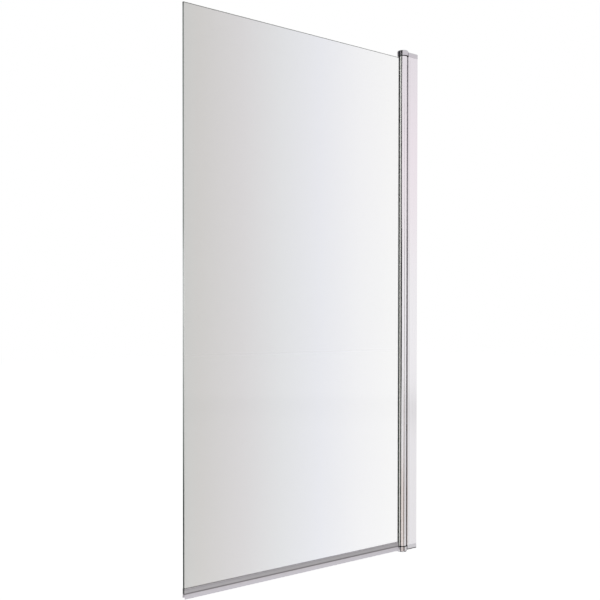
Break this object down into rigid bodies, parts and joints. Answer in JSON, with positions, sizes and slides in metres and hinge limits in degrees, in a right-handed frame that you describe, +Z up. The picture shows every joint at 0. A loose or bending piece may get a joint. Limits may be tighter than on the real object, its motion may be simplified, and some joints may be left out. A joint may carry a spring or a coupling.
{
  "type": "bath screen",
  "caption": "Wall-hung bath screen: a flat clear glass panel in a round pivot barrel that swings between capped ends of a slim wall post, with a finned bottom seal.",
  "frame": {"origin": "on the wall face, at the middle fixing hole, which is the centre of the row of wall fixing holes half-way up the wall channel", "axes": "+X into the wall, so the closed glass reaches out towards -X; +Y towards the bath side of the closed screen; +Z up"},
  "size_m": [0.785, 0.0342, 1.435],
  "materials": {
    "polished_aluminium": "bright-polished and anodised extrusion",
    "chrome_plate": "bright chrome plating",
    "steel_fastener": "plain stainless steel",
    "toughened_glass": "clear float glass, flat-ground edges",
    "clear_seal": "clear flexible PVC, slightly smoky",
    "grey_gasket": "translucent grey glazing gasket",
    "black_wiper": "matt black rubber",
    "black_nylon": "matt black nylon",
    "pivot_nylon": "natural acetal"
  },
  "bodies": {
    "wall_side": {"wall_channel": "polished_aluminium", "hinge_post": "polished_aluminium", "side_fixing_screws": "steel_fastener", "screw_cover_caps": "chrome_plate", "cradle_wiper_front": "black_wiper", "cradle_wiper_rear": "black_wiper", "top_cap": "chrome_plate", "bottom_cap": "chrome_plate", "top_pivot_pin": "steel_fastener", "bottom_pivot_pin": "steel_fastener", "cap_screws": "steel_fastener"},
    "door": {"pivot_barrel": "polished_aluminium", "glass_panel": "toughened_glass", "glass_setting_block": "pivot_nylon", "bottom_seal": "clear_seal", "glazing_gasket_front": "grey_gasket", "glazing_gasket_rear": "grey_gasket", "top_end_plug": "black_nylon", "bottom_end_plug": "black_nylon", "top_pivot_bush": "pivot_nylon", "bottom_pivot_bush": "pivot_nylon", "top_thrust_washer": "pivot_nylon", "bottom_thrust_washer": "pivot_nylon"}
  },
  "joints": [
    {"name": "screen_pivot", "type": "hinge", "parent": "wall_side", "child": "door", "pos_m": [-0.0455, 0, 0], "axis": [0, 0, 1], "range_deg": [-90, 90]}
  ]
}
